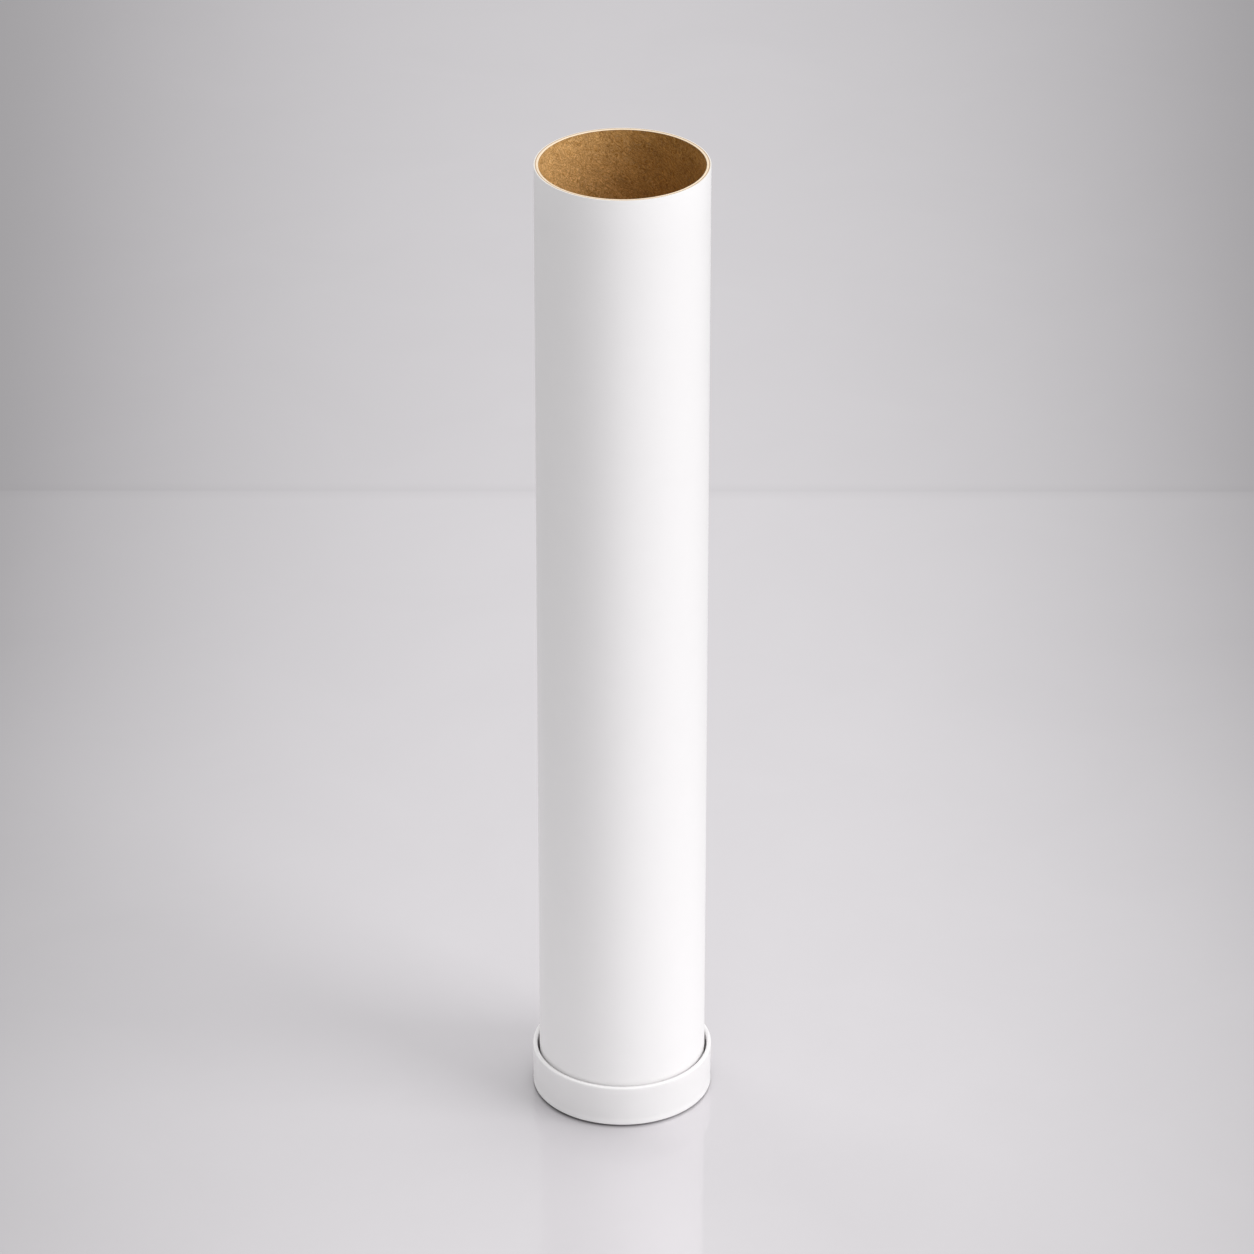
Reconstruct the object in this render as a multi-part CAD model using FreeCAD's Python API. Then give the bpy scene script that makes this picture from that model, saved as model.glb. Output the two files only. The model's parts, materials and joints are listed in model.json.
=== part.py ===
"""Cardboard mailing tube with a white outer wrap and one push-on end cap.

The tube stands on its capped end, with its open mouth at the top.
Units are millimetres. +Z is up along the tube's axis, and the origin is
the centre of the cap's underside.
"""
import FreeCAD, Part
import math
import os

# Tube: a wall of wound board inside a wrap of white paper
tube_length = 328.0
bore_radius = 25.65
board_thickness = 0.95
wrap_thickness = 0.40
cut_edge_rounding = 0.15

# Cap: a moulded cup that slips over the tube's lower end
cap_height = 14.8
cap_floor = 1.4
lip_wall = 1.47
lip_gap = 0.73
lip_rounding = 0.50
outside_draft = 0.20
base_corner_rounding = 0.60
grip_clearance = 0.08
grip_height = 4.0
lip_land = 2.2

board_outer_radius = bore_radius + board_thickness
tube_outer_radius = board_outer_radius + wrap_thickness
tube_foot = cap_floor
tube_top = tube_foot + tube_length


def rounded_outline(corners):
    """Closed outline through (radius, height, rounding) corners, with a tangent arc at each rounding."""
    points = [FreeCAD.Vector(radius, 0, height) for radius, height, rounding in corners]
    edges = []
    stretch_starts = []
    stretch_ends = []
    for index, (radius, height, rounding) in enumerate(corners):
        corner = points[index]
        back = (points[index - 1] - corner).normalize()
        ahead = (points[(index + 1) % len(points)] - corner).normalize()
        half_angle = back.getAngle(ahead) / 2
        trim = rounding / math.tan(half_angle)
        arc_start = corner + back * trim
        arc_end = corner + ahead * trim
        stretch_ends.append(arc_start)
        stretch_starts.append(arc_end)
        if rounding > 0:
            inward = (back + ahead).normalize()
            arc_middle = corner + inward * (rounding / math.sin(half_angle) - rounding)
            edges.append(Part.Arc(arc_start, arc_middle, arc_end).toShape())
    for index, start in enumerate(stretch_starts):
        end = stretch_ends[(index + 1) % len(stretch_ends)]
        edges.append(Part.makeLine(start, end))
    return Part.Wire(Part.__sortEdges__(edges))


def turned_solid(corners):
    """Solid of revolution about the tube's axis, from one side of its section."""
    section = Part.Face(rounded_outline(corners))
    return section.revolve(FreeCAD.Vector(0, 0, 0), FreeCAD.Vector(0, 0, 1), 360)


def board_tube():
    """Wound board wall: square cut ends, with the bore's sharp edges just broken."""
    edge = min(cut_edge_rounding, board_thickness / 3)
    return turned_solid([
        (bore_radius, tube_foot, edge),
        (board_outer_radius, tube_foot, 0),
        (board_outer_radius, tube_top, 0),
        (bore_radius, tube_top, edge),
    ])


def white_wrap():
    """White paper wound round the board: its ends are cut flush with the board's."""
    edge = min(cut_edge_rounding, wrap_thickness / 3)
    return turned_solid([
        (board_outer_radius, tube_foot, 0),
        (tube_outer_radius, tube_foot, edge),
        (tube_outer_radius, tube_top, edge),
        (board_outer_radius, tube_top, 0),
    ])


def end_cap():
    """Moulded cap: the skirt grips the tube low down and opens to a gap at its rounded lip."""
    lip_inner_radius = tube_outer_radius + lip_gap
    lip_outer_radius = lip_inner_radius + lip_wall
    base_radius = lip_outer_radius - outside_draft
    grip_radius = tube_outer_radius + grip_clearance
    lip_edge = min(lip_rounding, lip_wall * 0.45)
    return turned_solid([
        (0, 0, 0),
        (base_radius, 0, base_corner_rounding),
        (lip_outer_radius, cap_height, lip_edge),
        (lip_inner_radius, cap_height, lip_edge),
        (lip_inner_radius, cap_height - lip_land, 0),
        (grip_radius, cap_floor + grip_height, 0),
        (grip_radius, cap_floor, 0),
        (0, cap_floor, 0),
    ])


def build():
    """Every sub-part by its name."""
    return {
        "board_tube": board_tube(),
        "white_wrap": white_wrap(),
        "end_cap": end_cap(),
    }


os.makedirs("parts", exist_ok=True)
for name, solid in build().items():
    solid.exportStep("parts/" + name + ".step")
    box = solid.BoundBox
    print(name, "valid" if solid.isValid() else "not valid",
          "volume %.1f mm3" % solid.Volume,
          "z %.3f to %.3f" % (box.ZMin, box.ZMax))
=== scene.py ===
"""The looks of a cardboard mailing tube that stands on its push-on end cap, with its open mouth up.

Lengths are in metres and +Z is up along the tube's axis. Each round piece is drawn as a section
of (radius, height) points that is turned about the axis. The bore is the exception: its rows
follow the spiral of the innermost ply, so that the joint between two turns is a real groove.
"""

import json
import math

import bmesh
import bpy
from mathutils import Matrix, Vector, noise


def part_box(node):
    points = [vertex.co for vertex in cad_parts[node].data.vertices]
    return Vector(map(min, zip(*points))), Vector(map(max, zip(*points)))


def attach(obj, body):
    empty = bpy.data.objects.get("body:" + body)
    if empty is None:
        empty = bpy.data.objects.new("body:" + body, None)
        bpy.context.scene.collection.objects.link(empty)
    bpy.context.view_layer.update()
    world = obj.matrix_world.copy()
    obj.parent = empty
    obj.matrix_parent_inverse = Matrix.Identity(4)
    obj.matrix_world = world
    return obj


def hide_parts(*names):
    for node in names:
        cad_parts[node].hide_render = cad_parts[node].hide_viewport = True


bl_info = {
    "name": "Mailing Tube",
    "version": (1, 0, 0),
    "blender": (4, 5, 0),
    "location": "View3D > Sidebar > Mailing Tube",
    "description": "Builds a wound board mailing tube, its white wrap, its end cap and a studio stage",
    "category": "Add Mesh",
}

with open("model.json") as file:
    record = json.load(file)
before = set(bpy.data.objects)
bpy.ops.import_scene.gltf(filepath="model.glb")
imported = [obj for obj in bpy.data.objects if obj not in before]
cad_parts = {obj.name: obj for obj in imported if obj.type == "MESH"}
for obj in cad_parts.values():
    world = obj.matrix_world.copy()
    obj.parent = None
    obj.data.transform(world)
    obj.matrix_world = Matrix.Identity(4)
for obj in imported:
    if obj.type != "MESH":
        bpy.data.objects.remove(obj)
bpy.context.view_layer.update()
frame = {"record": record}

MM = 0.001

board_low, board_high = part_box("board_tube")
_, wrap_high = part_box("white_wrap")
_, cap_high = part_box("end_cap")
bore_mount = next(mount for mount in frame["record"]["mounts"] if mount["name"] == "open_bore")

TUBE_FOOT = board_low.z
TUBE_TOP = board_high.z
BORE_RADIUS = bore_mount["dims"]["r_mm"] * MM
BOARD_RADIUS = board_high.x
WRAP_RADIUS = wrap_high.x
CAP_RADIUS = cap_high.x
CAP_TOP = cap_high.z


def length(name, description, default):
    """A length setting, shown to a hundredth of a millimetre."""
    return bpy.props.FloatProperty(
        name=name, description=description, default=default, min=0.0, precision=5, unit="LENGTH")


def angle(name, description, degrees):
    """An angle setting, given here in degrees."""
    return bpy.props.FloatProperty(
        name=name, description=description, default=math.radians(degrees), subtype="ANGLE")


def colour(name, description, default):
    """A linear colour setting."""
    return bpy.props.FloatVectorProperty(
        name=name, description=description, default=default, size=3, min=0.0, max=1.0, subtype="COLOR")


def share(name, description, default):
    """A setting from 0 to 1."""
    return bpy.props.FloatProperty(
        name=name, description=description, default=default, min=0.0, max=1.0, subtype="FACTOR")


class BoardSettings(bpy.types.PropertyGroup):
    """The wound board wall: its plies, its cut ends and the colours of its kraft paper."""
    columns: bpy.props.IntProperty(
        name="Columns", description="Mesh columns round the wall", default=512, min=64)
    ply_count: bpy.props.IntProperty(
        name="Plies", description="Plies that show as rings on the cut ends", default=3, min=1)
    ply_groove: length("Ply groove", "Depth of the line between two plies on a cut end", 0.05 * MM)
    edge_break: length("Edge break", "Rounding of the bore's edge at the cut ends", 0.15 * MM)
    cut_fray: length("Cut fray", "How far the saw leaves the cut ends uneven", 0.05 * MM)
    spiral: angle("Spiral", "Angle between the innermost ply and the tube's rim", 45.0)
    seam_place: angle("Seam place", "Where the ply joint meets the upper rim, from +X", 105.7)
    seam_width: length("Seam width", "Width of the gap between two turns of the innermost ply", 0.22 * MM)
    seam_depth: length("Seam depth", "Depth of that gap", 0.08 * MM)
    row_step: length("Row step", "Height of a mesh row on the bore away from the seam", 9.0 * MM)
    # Painted light and shade: the first two kraft colours below are one liner, lit by the key lamp on the
    # bore's left wall and in shade on its right wall. The fleck colour is the paper's own, and the fourth
    # setting places where the painted shade is full.
    kraft_painted_lit: colour("Pale kraft", "Fibres on the paler side of the liner", (0.742, 0.439, 0.174))
    kraft_painted_shaded: colour("Deep kraft", "Fibres on the deeper side of the liner", (0.397, 0.195, 0.043))
    kraft_fleck: colour("Kraft flecks", "Paler fibres that catch the light", (0.76, 0.52, 0.27))
    painted_shade_from: length("Deep from", "How far right of the axis the liner has its deeper colour", 15.0 * MM)
    # Painted shade and light: the liner is darker near the rim and lighter deep in the bore, and darker
    # still in a thin line right at the rim's edge
    painted_rim_shade: share("Rim shade", "Share of its tone that the liner has near the rim", 0.85)
    rim_reach: length("Rim reach", "Depth at which the liner has its full tone", 22.0 * MM)
    painted_rim_line_shade: share("Rim line shade", "Share of that tone in the line right at the rim", 0.84)
    rim_line_full: length("Rim line width", "Depth of the line's darkest stretch", 0.4 * MM)
    rim_line_end: length("Rim line end", "Depth at which the line has faded out", 1.3 * MM)
    fibre_shade: share("Fibre shade", "How dark the hollows between fibres are", 0.60)
    stroke_shade: share("Stroke shade", "How dark the fine hollows between strokes are", 0.68)
    hollow_tint: colour("Hollow tint", "Warm tint of those hollows", (1.0, 0.91, 0.72))
    cut_cream: colour("Cut board", "Pale cut edge of the plies", (0.94, 0.79, 0.60))
    cut_tan: colour("Cut outer ply", "Darker line of the outermost ply", (0.50, 0.345, 0.23))
    tan_width: length("Outer ply width", "Width of that darker line", 0.26 * MM)


class WrapSettings(bpy.types.PropertyGroup):
    """The white paper wound round the board."""
    columns: bpy.props.IntProperty(
        name="Columns", description="Mesh columns round the wrap", default=512, min=64)
    edge_rounding: length("Edge rounding", "Rounding of the wrap's outer edge at the cut ends", 0.10 * MM)
    cut_fray: length("Cut fray", "How far the cut edge is uneven", 0.03 * MM)
    white: colour("White", "Face of the paper", (0.893, 0.880, 0.883))
    cut_white: colour("Cut paper", "Cut edge of the paper", (0.85, 0.81, 0.75))
    roughness: share("Roughness", "Roughness of the satin face", 0.42)


class CapSettings(bpy.types.PropertyGroup):
    """The moulded end cap: its section and its plastic."""
    columns: bpy.props.IntProperty(
        name="Columns", description="Mesh columns round the cap", default=256, min=64)
    lip_wall: length("Lip wall", "Thickness of the skirt at the lip", 1.463 * MM)
    lip_rounding: length("Lip rounding", "Rounding of the lip's outer edge", 0.55 * MM)
    lip_inner_rounding: length("Lip inner rounding", "Rounding of the lip's inner edge", 0.55 * MM)
    lip_land: length("Lip land", "Straight stretch inside the lip, above the lead-in", 2.2 * MM)
    grip_height: length("Grip height", "Height above the floor of the stretch that grips the tube", 4.0 * MM)
    grip_clearance: length("Grip clearance", "Gap between the grip and the tube", 0.08 * MM)
    draft: length("Draft", "How much narrower the outside is at the base than at the lip", 0.20 * MM)
    base_rounding: length("Base rounding", "Rounding of the wall's lower edge", 0.18 * MM)
    foot_height: length("Foot height", "Height of the slot that the foot leaves under the wall", 0.65 * MM)
    foot_inset: length("Foot inset", "How far the foot stands in from the wall", 2.40 * MM)
    bead: length("Bead", "How far the wall's lower edge stands out", 0.14 * MM)
    bead_rise: length("Bead rise", "Height over which it comes out", 0.30 * MM)
    white: colour("White", "Moulded plastic", (0.850, 0.838, 0.841))
    roughness: share("Roughness", "Roughness of the moulded face", 0.34)
    translucence: share("Translucence", "Share of the light that spreads inside the plastic", 0.7)
    glow_depth: length("Glow depth", "How far it spreads there", 0.9 * MM)


class StageSettings(bpy.types.PropertyGroup):
    """The camera, the lamps and the floor."""
    lens: bpy.props.FloatProperty(
        name="Lens", description="Focal length on a 36 mm sensor, in millimetres", default=174.8)
    look_height: length("Look height", "Height on the tube's axis that the camera looks at", 0.16923)
    distance: length("Distance", "From the camera to that height on the axis", 1.92425)
    sideways: bpy.props.FloatProperty(
        name="Sideways", description="How far the camera stands to the right of the axis",
        default=0.00150, unit="LENGTH", precision=5)
    pitch: angle("Pitch", "How far the camera looks down", 28.659)
    roll: angle("Roll", "Turn of the camera about its line of sight", 0.055)
    floor_tone: colour("Floor", "Floor in the pool of light round the tube", (0.668, 0.646, 0.670))
    floor_gloss: bpy.props.FloatProperty(
        name="Floor gloss", description="Refractive index of the floor's gloss", default=2.7, min=1.0)
    floor_roughness: share("Floor roughness", "Roughness of the floor's gloss", 0.05)
    floor_tint: colour("Floor gloss tint", "Tint of what the floor mirrors", (1.0, 0.975, 1.0))
    pool_shift: length("Pool shift", "How far right of the axis the pool of light is centred", 0.010)
    pool_reach: length("Pool reach", "Half width of the pool of light level with the tube", 0.385)
    pool_waist: length("Pool waist", "Half width of the pool where it is narrowest, behind the tube", 0.329)
    far_tone: share("Far floor", "Share of that tone which the floor keeps far from the tube", 0.28)
    far_softness: share("Far softness", "How softly the floor goes over to that share", 0.20)
    # Painted shade: a soft dark line across the floor at the joint, as where a backdrop wall meets a floor;
    # behind it the floor is a little darker
    joint_distance: length("Floor joint", "How far behind the axis the floor sheet ends", 0.42)
    corner_shade_tone: share("Joint tone", "Share of its tone that the floor has on the joint line", 0.935)
    corner_shade_spread: length("Joint spread", "How far the joint line fades out to either side", 0.0075)
    behind_tone: share("Behind tone", "Share of its tone that the floor has behind the joint", 0.96)
    shade_depth: share("Shade", "How much darker the floor is by the cap, away from the key lamp", 0.23)
    shade_reach: length("Shade reach", "How far that shade spreads from the cap", 28.0 * MM)
    shade_close: length("Close shade reach", "How far a second shade spreads, close to the cap", 2.5 * MM)
    shade_turn: angle("Shade direction", "Where that shade is deepest, from +X", 217.0)
    contact_lit: share("Contact, lit side", "Tone of the floor under the cap's edge by the key lamp", 0.74)
    contact_dark: share("Contact, dark side", "Tone of the floor under the edge away from it", 0.32)
    sky: colour("Sky", "Even light from all round", (0.80, 0.80, 0.80))
    sky_strength: bpy.props.FloatProperty(
        name="Sky strength", description="Strength of the even light", default=0.906, min=0.0)


def arc(centre_radius, centre_height, rounding, start, end, steps):
    """Points of an arc in a section, from one angle in degrees to another; 0 points outwards, 90 up."""
    points = []
    for step in range(steps + 1):
        turn = math.radians(start + (end - start) * step / steps)
        points.append((centre_radius + rounding * math.cos(turn), centre_height + rounding * math.sin(turn)))
    return points


def ring(bm, radius, height, columns, uneven=None):
    """One ring of vertices, each moved by uneven(angle, radius), which gives (outwards, upwards)."""
    verts = []
    for column in range(columns):
        turn = math.tau * column / columns
        outwards, upwards = uneven(turn, radius) if uneven else (0.0, 0.0)
        reach = radius + outwards
        verts.append(bm.verts.new((reach * math.cos(turn), reach * math.sin(turn), height + upwards)))
    return verts


def bridge(bm, lower, upper, slot=0):
    """Faces between two rings of as many vertices."""
    count = len(lower)
    for index in range(count):
        ahead = (index + 1) % count
        face = bm.faces.new((lower[index], lower[ahead], upper[ahead], upper[index]))
        face.material_index = slot


def fan(bm, rim, height):
    """Closes a ring with a disc of triangles round a vertex on the axis."""
    hub = bm.verts.new((0.0, 0.0, height))
    for index, vert in enumerate(rim):
        bm.faces.new((hub, vert, rim[(index + 1) % len(rim)]))


def finish_piece(bm, name, materials, body, node):
    """Turns the mesh into a piece that stands for a node, with its materials and body."""
    bmesh.ops.recalc_face_normals(bm, faces=bm.faces)
    mesh = bpy.data.meshes.new(name)
    bm.to_mesh(mesh)
    bm.free()
    mesh.shade_smooth()
    sharp_from = math.radians(40.0)
    mesh.set_sharp_from_angle(angle=sharp_from)
    for material in materials:
        mesh.materials.append(material)
    piece = bpy.data.objects.new(name, mesh)
    bpy.context.scene.collection.objects.link(piece)
    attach(piece, body)
    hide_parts(node)
    return piece


def add_node(tree, kind, inputs=None, **settings):
    """A shader node with its settings, and its inputs either set or linked to another node's socket."""
    made = tree.nodes.new(kind)
    for key, value in settings.items():
        setattr(made, key, value)
    for name, value in (inputs or {}).items():
        if isinstance(value, bpy.types.NodeSocket):
            tree.links.new(value, made.inputs[name])
        else:
            made.inputs[name].default_value = value
    return made


def new_material(name):
    """An empty node material, as (material, tree, Principled shader)."""
    material = bpy.data.materials.new(name)
    material.use_nodes = True
    tree = material.node_tree
    tree.nodes.clear()
    shader = tree.nodes.new("ShaderNodeBsdfPrincipled")
    output = tree.nodes.new("ShaderNodeOutputMaterial")
    tree.links.new(shader.outputs["BSDF"], output.inputs["Surface"])
    return material, tree, shader


def opaque(tone):
    """A colour setting with an alpha of 1, as sockets take it."""
    return (*tone, 1.0)


def noise_texture(tree, where, scale, detail, roughness=0.5, distortion=0.0):
    """Noise at a scale per unit of the coordinates it is given."""
    return add_node(tree, "ShaderNodeTexNoise", {
        "Vector": where, "Scale": scale, "Detail": detail,
        "Roughness": roughness, "Distortion": distortion})


def remap(tree, value, low, high, to_low=0.0, to_high=1.0, curve="LINEAR"):
    """Maps a value from one range to another, and keeps it inside."""
    return add_node(tree, "ShaderNodeMapRange", {
        "Value": value, "From Min": low, "From Max": high, "To Min": to_low, "To Max": to_high},
        interpolation_type=curve).outputs["Result"]


def blend_colours(tree, amount, first, second, kind="MIX"):
    """Mixes two colours, each a tone or a socket."""
    mixer = add_node(tree, "ShaderNodeMix", data_type="RGBA", blend_type=kind)
    for index, value in ((0, amount), (6, first), (7, second)):
        if isinstance(value, bpy.types.NodeSocket):
            tree.links.new(value, mixer.inputs[index])
        else:
            mixer.inputs[index].default_value = value
    return mixer.outputs[2]


def vector_node(tree, operation, first, second):
    """One calculation with two vectors or sockets."""
    return add_node(
        tree, "ShaderNodeVectorMath", {0: first, 1: second}, operation=operation).outputs["Vector"]


def math_node(tree, operation, first, second=0.0):
    """One calculation with two values or sockets."""
    return add_node(tree, "ShaderNodeMath", {0: first, 1: second}, operation=operation).outputs["Value"]


# Range that nearly all values of a noise texture lie in
NOISE_LOW = 0.3
NOISE_HIGH = 0.7


def mottled(tree, value, tone, low, high):
    """A tone that noise takes between two shares of itself."""
    darker = opaque([low * part for part in tone])
    paler = opaque([min(1.0, high * part) for part in tone])
    return blend_colours(tree, remap(tree, value, NOISE_LOW, NOISE_HIGH), darker, paler)


def object_coordinates(tree):
    """Coordinates of the piece itself, in metres."""
    return add_node(tree, "ShaderNodeTexCoord").outputs["Object"]


def raise_surface(tree, shader, height, distance, strength):
    """Feeds a height to the shader's normal."""
    bump = add_node(tree, "ShaderNodeBump", {"Height": height, "Distance": distance, "Strength": strength})
    tree.links.new(bump.outputs["Normal"], shader.inputs["Normal"])


# Layers of the bore's paper: waves per millimetre along and across the ply, detail, roughness, distortion
LINER_LAYERS = {
    "clouds": ((0.14, 0.22, 1.0), 3.0, 0.55, 0.6),
    "fibres": ((0.55, 1.25, 1.0), 6.0, 0.68, 2.6),
    "bends": ((0.10, 0.16, 1.0), 2.0, 0.5, 0.0),
    "strokes": ((1.0, 2.5, 1.0), 3.0, 0.66, 0.8),
    "flecks": ((1.7, 4.2, 1.0), 3.0, 0.6, 0.9),
}

# How far the bends move the strokes and flecks, in millimetres
BEND_REACH = (14.0, 14.0, 0.0)

# Size of the cells that the fibres lie round, as cells per millimetre along and across the ply
CELLS_PER_MM = (0.85, 1.15, 1.0)

# Tone of the fibres that stand out, as a share of the liner's: a little less warm than the hollows
FIBRE_CREST = (1.17, 1.18, 1.21)
STROKE_CREST = (1.22, 1.25, 1.32)


def liner_layer(tree, where, name):
    """One layer of the bore's paper, as (value from 0 to 1, colour)."""
    per_mm, detail, roughness, distortion = LINER_LAYERS[name]
    layer = noise_texture(
        tree, vector_node(tree, "MULTIPLY", where, per_mm), 1.0, detail, roughness, distortion)
    return layer.outputs["Fac"], layer.outputs["Color"]


def hollows(tree, value, low, high, depth, tint, crest):
    """Shade that goes from a tinted hollow to a crest as a layer's value rises."""
    hollow = opaque([depth * part for part in tint])
    return blend_colours(tree, remap(tree, value, low, high), hollow, opaque(crest))


def kraft_liner(settings):
    """Brown paper of the bore: matted fibres along the spiral of the ply, with painted light on its left
    wall, painted shade on its right wall and painted shade near the rim.
    """
    material, tree, shader = new_material("kraft_liner")
    along_ply = add_node(tree, "ShaderNodeUVMap", uv_map="ply").outputs["UV"]
    place = add_node(tree, "ShaderNodeSeparateXYZ", {"Vector": object_coordinates(tree)})
    height = place.outputs["Z"]
    # Painted light and shade: the liner's colour goes from lit on the left wall to shaded on the right
    most_shaded = 0.9
    side = remap(
        tree, place.outputs["X"], -BORE_RADIUS, settings.painted_shade_from, 0.0, most_shaded, "SMOOTHSTEP")
    tone = blend_colours(tree, side, opaque(settings.kraft_painted_lit), opaque(settings.kraft_painted_shaded))

    clouds, _ = liner_layer(tree, along_ply, "clouds")
    fibres, fibre_colour = liner_layer(tree, along_ply, "fibres")
    _, bends = liner_layer(tree, along_ply, "bends")
    bent_ply = vector_node(tree, "ADD", along_ply, vector_node(tree, "MULTIPLY", bends, BEND_REACH))
    strokes, _ = liner_layer(tree, bent_ply, "strokes")
    flecks, _ = liner_layer(tree, bent_ply, "flecks")
    wander = vector_node(tree, "ADD", vector_node(tree, "MULTIPLY", along_ply, CELLS_PER_MM), fibre_colour)
    cells = add_node(
        tree, "ShaderNodeTexVoronoi", {"Vector": wander, "Scale": 1.0}, feature="DISTANCE_TO_EDGE")

    # Painted shade near the rim, painted light deeper in the bore, and a painted shade line at the rim's
    # edge
    full_tone = 1.09
    line_end = TUBE_TOP - settings.rim_line_end
    line_full = TUBE_TOP - settings.rim_line_full
    shades = (
        remap(tree, clouds, NOISE_LOW, NOISE_HIGH, 0.90, 1.08),
        remap(tree, height, TUBE_TOP - settings.rim_reach, TUBE_TOP, full_tone, settings.painted_rim_shade),
        remap(tree, height, line_end, line_full, 1.0, settings.painted_rim_line_shade),
        hollows(tree, fibres, 0.38, 0.63, settings.fibre_shade, settings.hollow_tint, FIBRE_CREST),
        remap(tree, cells.outputs["Distance"], 0.0, 0.14, 0.86, 1.03),
        hollows(tree, strokes, 0.38, 0.62, settings.stroke_shade, settings.hollow_tint, STROKE_CREST),
    )
    for shade in shades:
        tone = blend_colours(tree, 1.0, tone, shade, "MULTIPLY")

    # The flecks take the same painted shade on the right wall
    painted_shade_share = 0.45
    painted_shade_fleck = opaque([painted_shade_share * part for part in settings.kraft_fleck])
    fleck_tone = blend_colours(tree, side, opaque(settings.kraft_fleck), painted_shade_fleck)
    fleck_share = 0.5
    pale = blend_colours(tree, fleck_share, fleck_tone, tone)
    most_pale = 0.7
    tone = blend_colours(tree, remap(tree, flecks, 0.50, 0.62, 0.0, most_pale), tone, pale)
    tree.links.new(tone, shader.inputs["Base Color"])
    shader.inputs["Roughness"].default_value = 0.85
    shader.inputs["Specular IOR Level"].default_value = 0.08
    raise_surface(tree, shader, fibres, 0.14 * MM, 0.9)
    return material


def cut_board(settings):
    """Cut edge of the board: pale plies, with a tan line where the outermost ply shows."""
    material, tree, shader = new_material("cut_board")
    where = object_coordinates(tree)
    flat = vector_node(tree, "MULTIPLY", where, (1.0, 1.0, 0.0))
    radius = add_node(tree, "ShaderNodeVectorMath", {0: flat}, operation="LENGTH").outputs["Value"]
    tan_start = BOARD_RADIUS - settings.tan_width
    soft_edge = 0.06 * MM
    outer = remap(tree, radius, tan_start - soft_edge, tan_start + soft_edge)
    tone = blend_colours(tree, outer, opaque(settings.cut_cream), opaque(settings.cut_tan))
    fibres = noise_texture(tree, where, scale=2200.0, detail=4.0, roughness=0.6)
    fibre_tone = remap(tree, fibres.outputs["Fac"], NOISE_LOW, NOISE_HIGH, 0.88, 1.06)
    tone = blend_colours(tree, 1.0, tone, fibre_tone, "MULTIPLY")
    tree.links.new(tone, shader.inputs["Base Color"])
    shader.inputs["Roughness"].default_value = 0.85
    shader.inputs["Specular IOR Level"].default_value = 0.2
    raise_surface(tree, shader, fibres.outputs["Fac"], 0.05 * MM, 0.7)
    return material


def wrap_paper(settings):
    """White face of the wrap: satin, with a very fine paper grain."""
    material, tree, shader = new_material("wrap_paper")
    where = object_coordinates(tree)
    grain = noise_texture(tree, where, scale=1600.0, detail=3.0, roughness=0.55)
    clouds = noise_texture(tree, where, scale=140.0, detail=3.0)
    tone = mottled(tree, clouds.outputs["Fac"], settings.white, 0.996, 1.004)
    tree.links.new(tone, shader.inputs["Base Color"])
    shader.inputs["Roughness"].default_value = settings.roughness
    raise_surface(tree, shader, grain.outputs["Fac"], 0.012 * MM, 0.5)
    return material


def wrap_edge(settings):
    """Cut edge of the white paper: dull and a little warmer than its face."""
    material, tree, shader = new_material("wrap_edge")
    fibres = noise_texture(tree, object_coordinates(tree), scale=2600.0, detail=3.0, roughness=0.6)
    tone = mottled(tree, fibres.outputs["Fac"], settings.cut_white, 0.93, 1.05)
    tree.links.new(tone, shader.inputs["Base Color"])
    shader.inputs["Roughness"].default_value = 0.9
    shader.inputs["Specular IOR Level"].default_value = 0.2
    return material


def cap_plastic(settings):
    """White moulded plastic: smooth, with a faint spark-eroded grain."""
    material, tree, shader = new_material("cap_plastic")
    where = object_coordinates(tree)
    grain = noise_texture(tree, where, scale=2600.0, detail=2.0)
    clouds = noise_texture(tree, where, scale=90.0, detail=2.0)
    tone = mottled(tree, clouds.outputs["Fac"], settings.white, 0.99, 1.01)
    tree.links.new(tone, shader.inputs["Base Color"])
    shader.inputs["Roughness"].default_value = settings.roughness
    shader.inputs["Subsurface Weight"].default_value = settings.translucence
    shader.inputs["Subsurface Radius"].default_value = (1.0, 1.0, 1.0)
    shader.inputs["Subsurface Scale"].default_value = settings.glow_depth
    raise_surface(tree, shader, grain.outputs["Fac"], 0.008 * MM, 0.4)
    return material


def ply_rows(settings, rise):
    """Rows of one turn of the innermost ply, as (height above its seam, depth into the wall)."""
    edge = settings.seam_width / 2 / math.cos(settings.spiral)
    edge_depth = 0.3 * settings.seam_depth
    shoulder = 2.2 * edge
    rows = [(0.0, settings.seam_depth), (edge, edge_depth), (shoulder, 0.0)]
    plain = rise - 2 * shoulder
    steps = max(2, round(plain / settings.row_step))
    rows += [(shoulder + plain * step / steps, 0.0) for step in range(1, steps + 1)]
    rows.append((rise - edge, edge_depth))
    return rows


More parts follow.
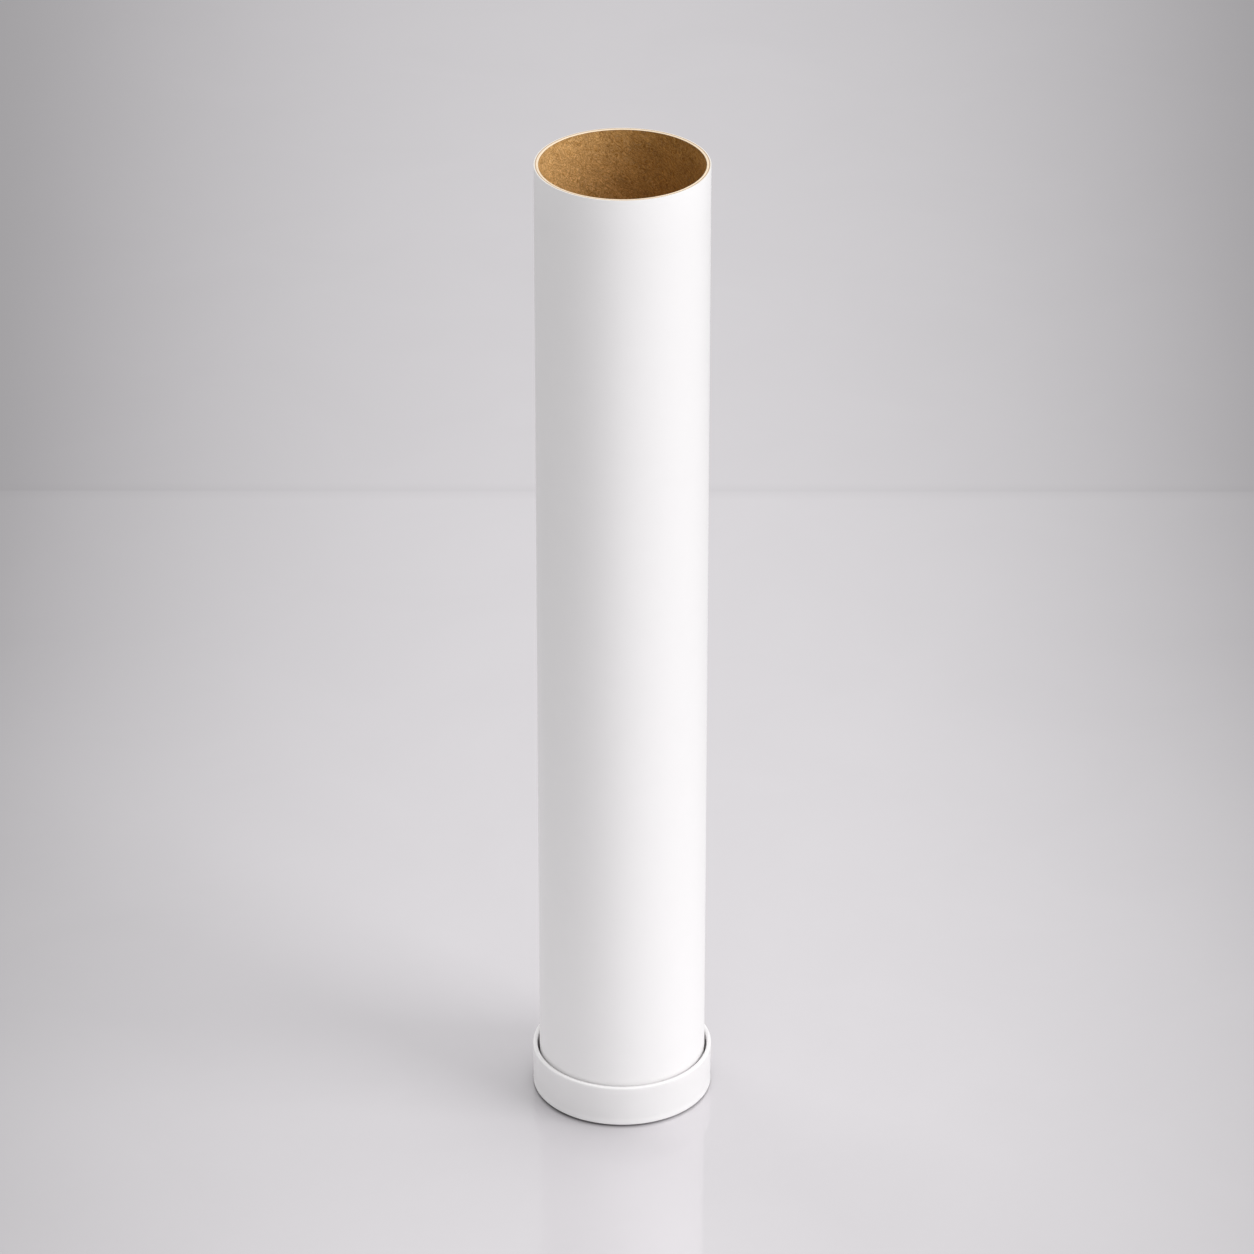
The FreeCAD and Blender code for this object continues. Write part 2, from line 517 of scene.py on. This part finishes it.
def wound_bore(bm, settings, low, high):
    """The bore, with rows along the ply's spiral. Gives its lowest and highest ring of vertices."""
    columns = settings.columns
    rise = math.tau * BORE_RADIUS * math.tan(settings.spiral)
    rows = ply_rows(settings, rise)
    seam_start = high - rise * settings.seam_place / math.tau
    first = math.floor((low - seam_start) / rise) - 1
    last = math.ceil((high - seam_start) / rise) + 1
    ply_map = bm.loops.layers.uv.new("ply")
    low_ring = ring(bm, BORE_RADIUS, low, columns)
    high_ring = ring(bm, BORE_RADIUS, high, columns)
    made = {}

    def seam_height(column, turn):
        return seam_start + rise * (turn + column / columns)

    def row_height(column, row):
        turn, place = divmod(row, len(rows))
        return min(max(seam_height(column, turn) + rows[place][0], low), high)

    def vertex(column, row):
        if column == columns:
            return vertex(0, row + len(rows))
        height = row_height(column, row)
        if height <= low:
            return low_ring[column]
        if height >= high:
            return high_ring[column]
        if (column, row) not in made:
            reach = BORE_RADIUS + rows[row % len(rows)][1]
            turn = math.tau * column / columns
            made[column, row] = bm.verts.new((reach * math.cos(turn), reach * math.sin(turn), height))
        return made[column, row]

    def ply_place(column, row, turn):
        run = BORE_RADIUS * math.tau * (turn + column / columns)
        climb = row_height(column, row) - seam_height(column, turn)
        return (
            (run / math.cos(settings.spiral) + climb * math.sin(settings.spiral)) / MM,
            climb * math.cos(settings.spiral) / MM,
        )

    for column in range(columns):
        for row in range(first * len(rows), last * len(rows)):
            corners = []
            places = []
            for side, step in ((0, 0), (1, 0), (1, 1), (0, 1)):
                vert = vertex(column + side, row + step)
                if vert not in corners:
                    corners.append(vert)
                    places.append(ply_place(column + side, row + step, row // len(rows)))
            if len(corners) < 3:
                continue
            face = bm.faces.new(corners)
            for loop, place in zip(face.loops, places):
                loop[ply_map].uv = place
    return low_ring, high_ring


def cut_end(settings, end, inwards):
    """Section of a cut end from the bore's edge to the outside. inwards is -1 at the top, 1 at the foot."""
    edge = settings.edge_break
    steps = 4
    section = []
    for step in range(1, steps + 1):
        turn = math.pi / 2 * step / steps
        radius = BORE_RADIUS + edge * (1 - math.cos(turn))
        section.append((radius, end + inwards * edge * (1 - math.sin(turn))))
    ply = (BOARD_RADIUS - BORE_RADIUS) / settings.ply_count
    half_groove = 0.035 * MM
    groove_edge = 0.01 * MM
    crown_dip = 0.004 * MM
    crown_place = 0.4 * ply
    for index in range(1, settings.ply_count):
        line = BORE_RADIUS + ply * index
        section += [
            (line - crown_place, end + inwards * crown_dip),
            (line - half_groove, end + inwards * groove_edge),
            (line, end + inwards * settings.ply_groove),
            (line + half_groove, end + inwards * groove_edge),
        ]
    section.append((BOARD_RADIUS - ply / 2, end))
    section.append((BOARD_RADIUS, end))
    return section


def frayed(amount, inwards, seed):
    """Unevenness of a cut end: it only lowers the surface, so that the tube keeps its length."""
    coarse_waves = 240.0
    fine_waves = 1100.0
    spread = 0.25

    def uneven(turn, radius):
        around = Vector((math.cos(turn), math.sin(turn), 0.0)) * radius
        coarse = noise.noise(around * coarse_waves + Vector((seed, 0.0, 0.0)))
        fine = noise.noise(around * fine_waves + Vector((0.0, seed, 0.0)))
        lowered = amount * (0.5 + spread * coarse + spread * fine)
        return spread * amount * fine, inwards * lowered

    return uneven


def add_cut_end(bm, settings, bore_ring, end, inwards, seed):
    """Faces of one cut end of the board, from the bore's last ring. Gives the outermost ring."""
    fray = frayed(settings.cut_fray, inwards, seed)
    previous = bore_ring
    for radius, height in cut_end(settings, end, inwards):
        uneven = fray if radius < BOARD_RADIUS else None
        current = ring(bm, radius, height, settings.columns, uneven)
        bridge(bm, previous, current, 1)
        previous = current
    return previous


# Seeds of the uneven cuts, so that no two ends are alike
BOARD_TOP_SEED = 3.7
BOARD_FOOT_SEED = 8.1
WRAP_TOP_SEED = 5.3
WRAP_FOOT_SEED = 6.9


class MAILTUBE_OT_wound_board(bpy.types.Operator):
    """Adds the wall of wound kraft board, with its spiral bore and its cut ends"""
    bl_idname = "mailtube.wound_board"
    bl_label = "Wound board"

    def execute(self, context):
        settings = context.scene.mailtube_board
        bm = bmesh.new()
        edge = settings.edge_break
        low_ring, high_ring = wound_bore(bm, settings, TUBE_FOOT + edge, TUBE_TOP - edge)
        outer_top = add_cut_end(bm, settings, high_ring, TUBE_TOP, -1, BOARD_TOP_SEED)
        outer_foot = add_cut_end(bm, settings, low_ring, TUBE_FOOT, 1, BOARD_FOOT_SEED)
        bridge(bm, outer_foot, outer_top, 1)
        materials = [kraft_liner(settings), cut_board(settings)]
        finish_piece(bm, "wound_board", materials, "tube", "board_tube")
        return {"FINISHED"}


class MAILTUBE_OT_paper_wrap(bpy.types.Operator):
    """Adds the white paper wound round the board, cut flush with it at both ends"""
    bl_idname = "mailtube.paper_wrap"
    bl_label = "Paper wrap"

    def execute(self, context):
        settings = context.scene.mailtube_wrap
        rounding = settings.edge_rounding
        corner = WRAP_RADIUS - rounding
        middle = (BOARD_RADIUS + corner) / 2
        section = [(BOARD_RADIUS, TUBE_FOOT), (middle, TUBE_FOOT)]
        section += arc(corner, TUBE_FOOT + rounding, rounding, -90, 0, 5)
        rise = TUBE_TOP - TUBE_FOOT - 2 * rounding
        bands = 24
        section += [(WRAP_RADIUS, TUBE_FOOT + rounding + rise * band / bands) for band in range(1, bands)]
        section += arc(corner, TUBE_TOP - rounding, rounding, 0, 90, 5)
        section += [(middle, TUBE_TOP), (BOARD_RADIUS, TUBE_TOP)]
        bm = bmesh.new()
        top_fray = frayed(settings.cut_fray, -1, WRAP_TOP_SEED)
        foot_fray = frayed(settings.cut_fray, 1, WRAP_FOOT_SEED)
        uneven_zone = 0.3 * rounding
        cut_zone = 0.6 * rounding
        rings = []
        for radius, height in section:
            fray = None
            if height > TUBE_TOP - uneven_zone:
                fray = top_fray
            if height < TUBE_FOOT + uneven_zone:
                fray = foot_fray
            rings.append(ring(bm, radius, height, settings.columns, fray))
        for index, current in enumerate(rings):
            ends = (section[index - 1][1], section[index][1])
            cut = min(ends) > TUBE_TOP - cut_zone or max(ends) < TUBE_FOOT + cut_zone
            bridge(bm, rings[index - 1], current, 1 if cut else 0)
        materials = [wrap_paper(settings), wrap_edge(settings)]
        finish_piece(bm, "paper_wrap", materials, "tube", "white_wrap")
        return {"FINISHED"}


class MAILTUBE_OT_slip_cap(bpy.types.Operator):
    """Adds the moulded cap that the tube's lower end is pushed into"""
    bl_idname = "mailtube.slip_cap"
    bl_label = "Slip cap"

    def execute(self, context):
        settings = context.scene.mailtube_cap
        lip = settings.lip_rounding
        inside = settings.lip_inner_rounding
        base = settings.base_rounding
        inner = CAP_RADIUS - settings.lip_wall
        grip = WRAP_RADIUS + settings.grip_clearance
        grip_top = TUBE_FOOT + settings.grip_height
        land = CAP_TOP - settings.lip_land
        wall_foot = CAP_RADIUS - settings.draft
        foot = wall_foot - settings.foot_inset
        fillet = 0.10 * MM
        corner_out = 0.05 * MM
        corner_down = 0.04 * MM
        slot_corner = (foot + corner_out, settings.foot_height - corner_down)
        disc_shares = (0.2, 0.5, 0.8)
        wall_steps = 6

        section = [(part * foot, 0.0) for part in disc_shares]
        section += [(foot, 0.0), slot_corner]
        wall_low = settings.foot_height + base
        section += arc(wall_foot + settings.bead - base, wall_low, base, -90, 0, 6)
        wall_low += settings.bead_rise
        section.append((wall_foot, wall_low))
        wall_high = CAP_TOP - lip
        for step in range(1, wall_steps):
            part = step / wall_steps
            section.append((wall_foot + settings.draft * part, wall_low + (wall_high - wall_low) * part))
        section += arc(CAP_RADIUS - lip, wall_high, lip, 0, 90, 10)
        section += arc(inner + inside, CAP_TOP - inside, inside, 90, 180, 10)
        section += [(inner, land), (grip, grip_top), (grip, TUBE_FOOT + fillet)]
        section += [(grip - fillet, TUBE_FOOT)]
        section += [(part * grip, TUBE_FOOT) for part in reversed(disc_shares)]

        bm = bmesh.new()
        rings = [ring(bm, radius, height, settings.columns) for radius, height in section]
        for lower, upper in zip(rings, rings[1:]):
            bridge(bm, lower, upper)
        fan(bm, rings[0], 0.0)
        fan(bm, rings[-1], TUBE_FOOT)
        finish_piece(bm, "slip_cap", [cap_plastic(settings)], "cap", "end_cap")
        return {"FINISHED"}


# Soft lamps: name, place, place it points at, width, height, watts
LAMPS = (
    ("key_right", (2.22, -0.88, 1.50), (0.0, 0.0, 0.14), 1.5, 2.0, 46.9),
    ("front_soft", (0.10, -1.70, 1.30), (0.0, 0.0, 0.16), 1.0, 1.0, 3.7),
    ("left_back", (-0.95, 1.10, 0.70), (0.0, 0.0, 0.16), 0.8, 1.0, 5.3),
)


def add_lamp(name, place, target, width, height, watts):
    """An area lamp that faces its target and doesn't show in glossy surfaces."""
    data = bpy.data.lights.new(name, "AREA")
    data.shape = "RECTANGLE"
    data.size = width
    data.size_y = height
    data.energy = watts
    lamp = bpy.data.objects.new(name, data)
    lamp.location = place
    lamp.visible_glossy = False
    lamp.rotation_euler = (Vector(target) - Vector(place)).to_track_quat("-Z", "Y").to_euler()
    bpy.context.scene.collection.objects.link(lamp)


def add_camera(settings):
    """The camera, turned down by its pitch towards a height on the tube's axis."""
    data = bpy.data.cameras.new("camera")
    data.lens = settings.lens
    data.sensor_width = 36.0
    camera = bpy.data.objects.new("camera", data)
    back = Vector((0.0, -math.cos(settings.pitch), math.sin(settings.pitch)))
    place = Vector((settings.sideways, 0.0, settings.look_height)) + back * settings.distance
    tilt = Matrix.Rotation(math.pi / 2 - settings.pitch, 4, "X")
    camera.matrix_world = Matrix.Translation(place) @ tilt @ Matrix.Rotation(settings.roll, 4, "Z")
    bpy.context.scene.collection.objects.link(camera)
    bpy.context.scene.camera = camera


def soft_greater(tree, first, second, softness):
    """The greater of two values, with a soft change from one to the other."""
    return add_node(
        tree, "ShaderNodeMath", {0: first, 1: second, 2: softness}, operation="SMOOTH_MAX").outputs["Value"]


def along(tree, place, turn):
    """How far a place on the floor lies from the axis in a direction, given as an angle from +X."""
    x_part = math_node(tree, "MULTIPLY", place.outputs["X"], math.cos(turn))
    y_part = math_node(tree, "MULTIPLY", place.outputs["Y"], math.sin(turn))
    return math_node(tree, "ADD", x_part, y_part)


def from_axis(tree, place):
    """How far a place on the floor lies from the axis."""
    x_part = math_node(tree, "MULTIPLY", place.outputs["X"], place.outputs["X"])
    y_part = math_node(tree, "MULTIPLY", place.outputs["Y"], place.outputs["Y"])
    return math_node(tree, "SQRT", math_node(tree, "ADD", x_part, y_part))


def cap_shade(tree, settings, place):
    """Shade of the floor round the cap and under its edge: both are darkest away from the key lamp."""
    radius = from_axis(tree, place)
    clear = math_node(tree, "DIVIDE", math_node(tree, "SUBTRACT", radius, CAP_RADIUS), settings.shade_reach)
    fading = math_node(tree, "POWER", 1.0 / math.e, math_node(tree, "MAXIMUM", clear, 0.0))
    close = math_node(tree, "POWER", fading, settings.shade_reach / settings.shade_close)
    lean = math_node(
        tree, "DIVIDE", along(tree, place, settings.shade_turn), math_node(tree, "MAXIMUM", radius, MM))
    shade_from = 0.1
    side = remap(tree, lean, shade_from, 1.0)
    shade = math_node(tree, "MULTIPLY", math_node(tree, "ADD", fading, close), side)
    shade = math_node(tree, "MULTIPLY", shade, settings.shade_depth)
    open_floor = math_node(tree, "SUBTRACT", 1.0, shade)
    under = remap(tree, lean, 0.0, 1.0, settings.contact_lit, settings.contact_dark)
    under_edge = CAP_RADIUS - 0.4 * MM
    past_edge = CAP_RADIUS + 0.2 * MM
    outside = remap(tree, radius, under_edge, past_edge)
    return add_node(
        tree, "ShaderNodeMix", {0: outside, 2: under, 3: open_floor}, data_type="FLOAT").outputs[0]


def light_pool(tree, settings, place):
    """Tone of the floor in the pool of light: it falls off to both sides and slowly to the back."""
    back = place.outputs["Y"]
    joint = settings.joint_distance
    before_joint = joint - MM
    past_joint = joint + MM
    narrows_from = 0.05
    narrows_to = 0.30
    dims_from = 0.10
    far_back = 0.90
    back_tone = 0.82
    joint_narrowing = -0.012
    far_widening = 0.046
    reach = remap(tree, back, narrows_from, narrows_to, settings.pool_reach, settings.pool_waist)
    reach = math_node(tree, "ADD", reach, remap(tree, back, before_joint, past_joint, 0.0, joint_narrowing))
    reach = math_node(tree, "ADD", reach, remap(tree, back, joint, far_back, 0.0, far_widening))
    across = math_node(tree, "SUBTRACT", place.outputs["X"], settings.pool_shift)
    off_centre = math_node(tree, "DIVIDE", across, reach)
    fall_off = math_node(tree, "SUBTRACT", 1.0, math_node(tree, "MULTIPLY", off_centre, off_centre))
    pool = math_node(tree, "MULTIPLY", remap(tree, back, dims_from, far_back, 1.0, back_tone), fall_off)
    behind = remap(tree, back, before_joint, past_joint, 1.0, settings.behind_tone)
    return math_node(tree, "MULTIPLY", pool, behind)


def corner_shade_line(tree, settings, place):
    """Tone of the soft dark line at the floor's joint: painted shade, as where a backdrop wall meets a
    floor.
    """
    to_joint = math_node(tree, "SUBTRACT", place.outputs["Y"], settings.joint_distance)
    distance = math_node(tree, "ABSOLUTE", to_joint)
    return remap(tree, distance, 0.0, settings.corner_shade_spread, settings.corner_shade_tone, 1.0)


def floor_finish(settings):
    """Pale glossy floor with a painted pool of light round the tube, painted shade by the cap, and a painted
    shade line behind the tube.
    """
    material, tree, shader = new_material("studio_floor")
    where = object_coordinates(tree)
    place = add_node(tree, "ShaderNodeSeparateXYZ", {"Vector": where})
    tone = math_node(
        tree, "MULTIPLY", light_pool(tree, settings, place), corner_shade_line(tree, settings, place))
    smudges = noise_texture(tree, where, scale=14.0, detail=4.0, roughness=0.6, distortion=0.8)
    smudge_tone = remap(tree, smudges.outputs["Fac"], NOISE_LOW, NOISE_HIGH, 0.988, 1.012)
    tone = math_node(tree, "MULTIPLY", tone, smudge_tone)
    tone = soft_greater(tree, tone, settings.far_tone, settings.far_softness)
    tone = math_node(tree, "MULTIPLY", tone, cap_shade(tree, settings, place))
    floor_colour = blend_colours(tree, 1.0, opaque(settings.floor_tone), tone, "MULTIPLY")
    tree.links.new(floor_colour, shader.inputs["Base Color"])
    shader.inputs["Roughness"].default_value = settings.floor_roughness
    shader.inputs["IOR"].default_value = settings.floor_gloss
    shader.inputs["Specular Tint"].default_value = opaque(settings.floor_tint)
    return material


def add_floor(settings):
    """A flat square floor."""
    half = 5.0
    bm = bmesh.new()
    corners = [bm.verts.new((x * half, y * half, 0.0)) for x, y in ((-1, -1), (1, -1), (1, 1), (-1, 1))]
    bm.faces.new(corners)
    mesh = bpy.data.meshes.new("studio_floor")
    bm.to_mesh(mesh)
    bm.free()
    mesh.materials.append(floor_finish(settings))
    floor = bpy.data.objects.new("studio_floor", mesh)
    bpy.context.scene.collection.objects.link(floor)


def light_sky(settings):
    """An even sky, which lights the tube softly from all round."""
    world = bpy.data.worlds.new("studio_sky")
    world.use_nodes = True
    sky = world.node_tree.nodes["Background"]
    sky.inputs["Color"].default_value = opaque(settings.sky)
    sky.inputs["Strength"].default_value = settings.sky_strength
    bpy.context.scene.world = world


class MAILTUBE_OT_stage(bpy.types.Operator):
    """Adds the floor, the lamps and the camera"""
    bl_idname = "mailtube.stage"
    bl_label = "Stage"

    def execute(self, context):
        settings = context.scene.mailtube_stage
        add_camera(settings)
        add_floor(settings)
        light_sky(settings)
        for lamp in LAMPS:
            add_lamp(*lamp)
        context.scene.view_settings.view_transform = "Standard"
        return {"FINISHED"}


class MAILTUBE_PT_sidebar(bpy.types.Panel):
    """The mailing tube's pieces and their settings"""
    bl_label = "Mailing Tube"
    bl_idname = "MAILTUBE_PT_sidebar"
    bl_space_type = "VIEW_3D"
    bl_region_type = "UI"
    bl_category = "Mailing Tube"

    def draw(self, context):
        layout = self.layout
        for operator, group in (
                ("mailtube.stage", "mailtube_stage"), ("mailtube.wound_board", "mailtube_board"),
                ("mailtube.paper_wrap", "mailtube_wrap"), ("mailtube.slip_cap", "mailtube_cap")):
            box = layout.box()
            box.operator(operator)
            settings = getattr(context.scene, group)
            for name in settings.__annotations__:
                box.prop(settings, name)


CLASSES = (
    BoardSettings, WrapSettings, CapSettings, StageSettings,
    MAILTUBE_OT_wound_board, MAILTUBE_OT_paper_wrap, MAILTUBE_OT_slip_cap, MAILTUBE_OT_stage,
    MAILTUBE_PT_sidebar,
)


def register():
    """Registers the classes and hangs the settings on the scene."""
    for item in CLASSES:
        bpy.utils.register_class(item)
    bpy.types.Scene.mailtube_board = bpy.props.PointerProperty(type=BoardSettings)
    bpy.types.Scene.mailtube_wrap = bpy.props.PointerProperty(type=WrapSettings)
    bpy.types.Scene.mailtube_cap = bpy.props.PointerProperty(type=CapSettings)
    bpy.types.Scene.mailtube_stage = bpy.props.PointerProperty(type=StageSettings)


def unregister():
    """Takes the settings and the classes away again."""
    del bpy.types.Scene.mailtube_stage
    del bpy.types.Scene.mailtube_cap
    del bpy.types.Scene.mailtube_wrap
    del bpy.types.Scene.mailtube_board
    for item in reversed(CLASSES):
        bpy.utils.unregister_class(item)


def main():
    """Builds the whole scene."""
    register()
    bpy.ops.mailtube.stage()
    bpy.ops.mailtube.wound_board()
    bpy.ops.mailtube.paper_wrap()
    bpy.ops.mailtube.slip_cap()


if __name__ == "__main__":
    main()
